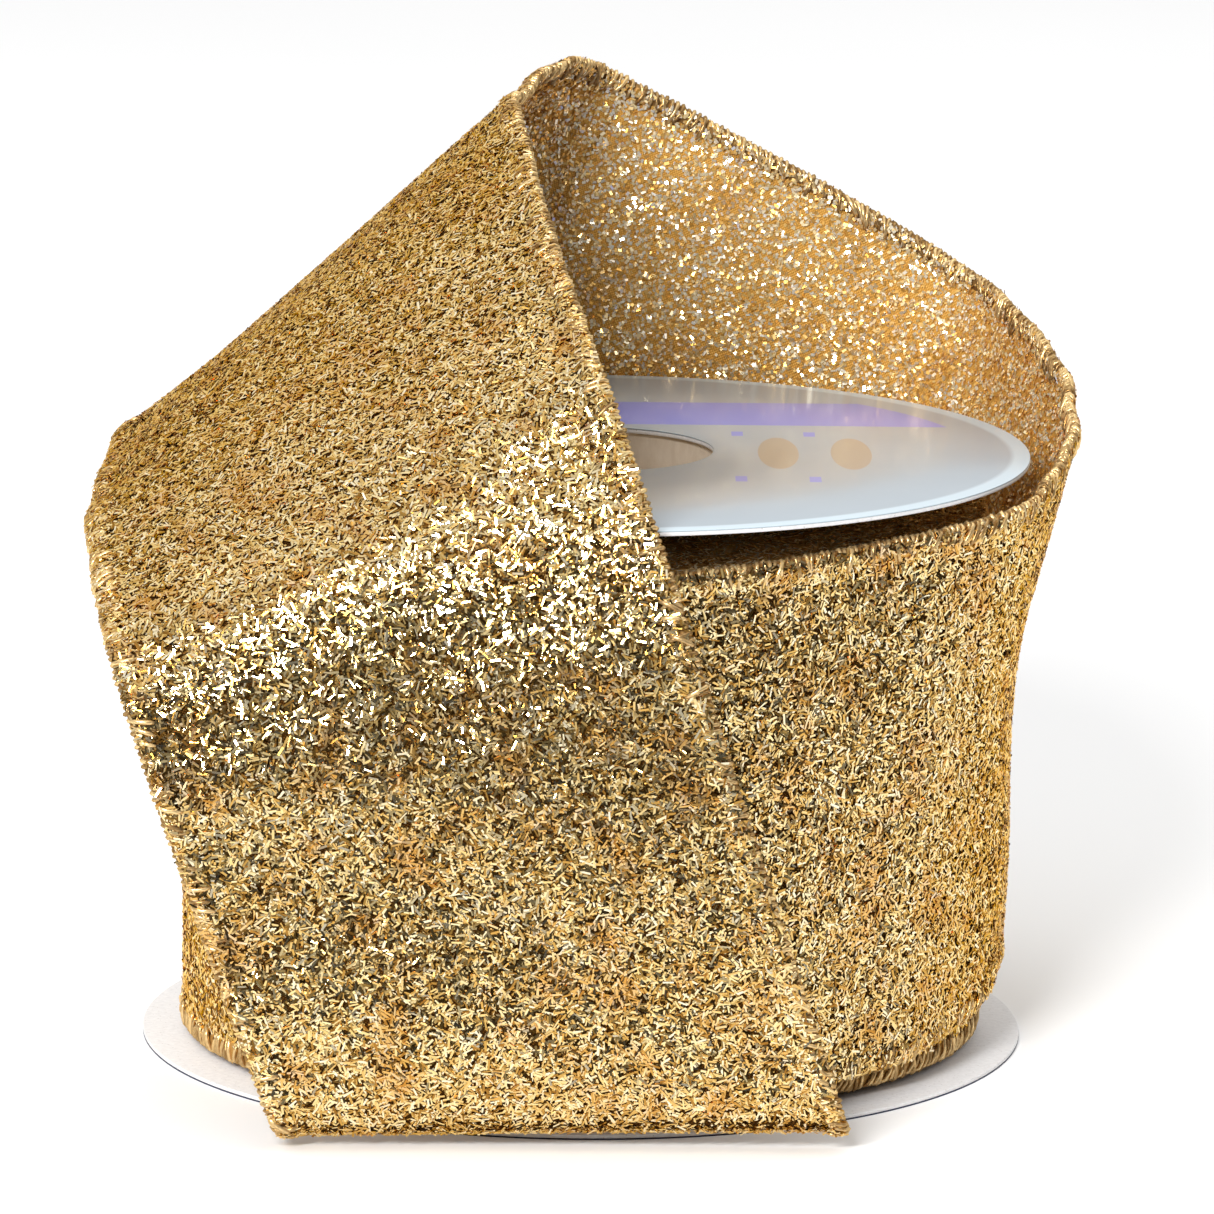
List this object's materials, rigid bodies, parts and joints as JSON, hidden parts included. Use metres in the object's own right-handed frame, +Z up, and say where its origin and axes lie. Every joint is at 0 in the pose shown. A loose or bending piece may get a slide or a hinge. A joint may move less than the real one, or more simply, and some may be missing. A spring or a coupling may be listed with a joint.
{
  "type": "ribbon spool",
  "caption": "Wide wired-edge metallic gift ribbon wound on a paperboard reel, with a loose outer turn and its tail folded over the front.",
  "frame": {"origin": "on the surface the reel stands on, on the reel's axis, under the middle of the bounding box", "axes": "+Z up along the reel's axis; -Y towards the front, where the ribbon's tail hangs; +X to the right as seen from the front"},
  "size_m": [0.1177, 0.1207, 0.1124],
  "materials": {
    "greyboard": "matt",
    "printed_paper": "gloss",
    "dark_print": "gloss",
    "kraft_paper": "matt",
    "clear_tape": "gloss",
    "gold_cloth": "metallic flecks",
    "gold_thread": "satin",
    "edge_wire": "satin"
  },
  "bodies": {
    "spool": {"bottom_flange_label": "dark_print", "bottom_flange_board": "greyboard", "core_tube": "kraft_paper", "top_flange_board": "greyboard", "top_flange_label": "printed_paper", "start_tape": "clear_tape", "wound_lower_edges": "gold_thread", "wound_cloth": "gold_cloth", "wound_upper_edges": "gold_thread"},
    "loose_turn": {"loose_turn_cloth": "gold_cloth", "loose_turn_lower_binding": "gold_thread", "loose_turn_upper_binding": "gold_thread", "loose_turn_lower_wire": "edge_wire", "loose_turn_upper_wire": "edge_wire"},
    "tail": {"tail_cloth": "gold_cloth", "tail_lower_binding": "gold_thread", "tail_upper_binding": "gold_thread", "tail_lower_wire": "edge_wire", "tail_upper_wire": "edge_wire"}
  },
  "joints": [
    {"name": "unwind", "type": "hinge", "parent": "spool", "child": "loose_turn", "pos_m": [0, 0, 0], "axis": [0, 0, 1], "continuous": true},
    {"name": "tail_lift", "type": "hinge", "parent": "loose_turn", "child": "tail", "pos_m": [-0.0316, 0.01825, 0.0906], "axis": [-0.7461, -0.2134, -0.6307], "range_deg": [0, 45]}
  ]
}
